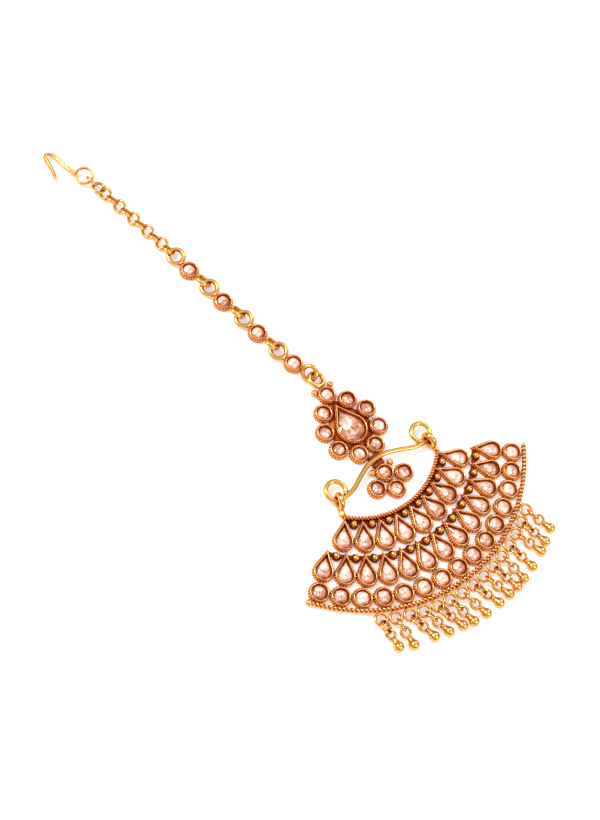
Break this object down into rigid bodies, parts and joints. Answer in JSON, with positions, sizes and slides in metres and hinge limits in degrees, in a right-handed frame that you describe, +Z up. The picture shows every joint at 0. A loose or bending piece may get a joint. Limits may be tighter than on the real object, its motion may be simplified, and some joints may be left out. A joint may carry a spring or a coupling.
{
  "type": "maang tikka",
  "caption": "Forehead jewel: a hook and a thin chain carry a stone-set pear pendant and a pierced fan of set stones with a fringe of small ball drops.",
  "frame": {"origin": "on the surface it lies on, under the middle of the whole jewel", "axes": "+Z up out of the surface, +Y along the jewel towards the hook, +X to the right of the fan seen from the front"},
  "size_m": [0.068, 0.1516, 0.0043],
  "materials": {
    "antique_gold": "antique copper-gold plate with dark red-brown oxide in the recesses",
    "bright_gold": "polished yellow-gold plate",
    "cut_stone": "faceted champagne-pink stone with a foil back"
  },
  "bodies": {
    "root": {"fan": "antique_gold", "fringe_drop_01": "bright_gold", "fringe_drop_02": "bright_gold", "fringe_drop_03": "bright_gold", "fringe_drop_04": "bright_gold", "fringe_drop_05": "bright_gold", "fringe_drop_06": "bright_gold", "fringe_drop_07": "bright_gold", "fringe_drop_08": "bright_gold", "fringe_drop_09": "bright_gold", "fringe_drop_10": "bright_gold", "fringe_drop_11": "bright_gold", "fringe_drop_12": "bright_gold", "fringe_drop_13": "bright_gold", "fringe_drop_14": "bright_gold", "fringe_drop_15": "bright_gold", "pendant_frame": "antique_gold", "pendant_pear_stone": "cut_stone", "pendant_stone_1": "cut_stone", "pendant_stone_2": "cut_stone", "pendant_stone_3": "cut_stone", "pendant_stone_4": "cut_stone", "pendant_stone_5": "cut_stone", "pendant_stone_6": "cut_stone", "pendant_stone_7": "cut_stone", "pendant_stone_8": "cut_stone", "pendant_stone_9": "cut_stone", "flower_stone_1": "cut_stone", "flower_stone_2": "cut_stone", "flower_stone_3": "cut_stone", "flower_stone_4": "cut_stone", "stone_link_1": "antique_gold", "stone_link_2": "antique_gold", "stone_link_3": "antique_gold", "stone_link_4": "antique_gold", "link_stone_1": "cut_stone", "link_stone_2": "cut_stone", "link_stone_3": "cut_stone", "link_stone_4": "cut_stone", "cable_chain": "bright_gold", "hair_hook": "bright_gold"}
  },
  "joints": []
}
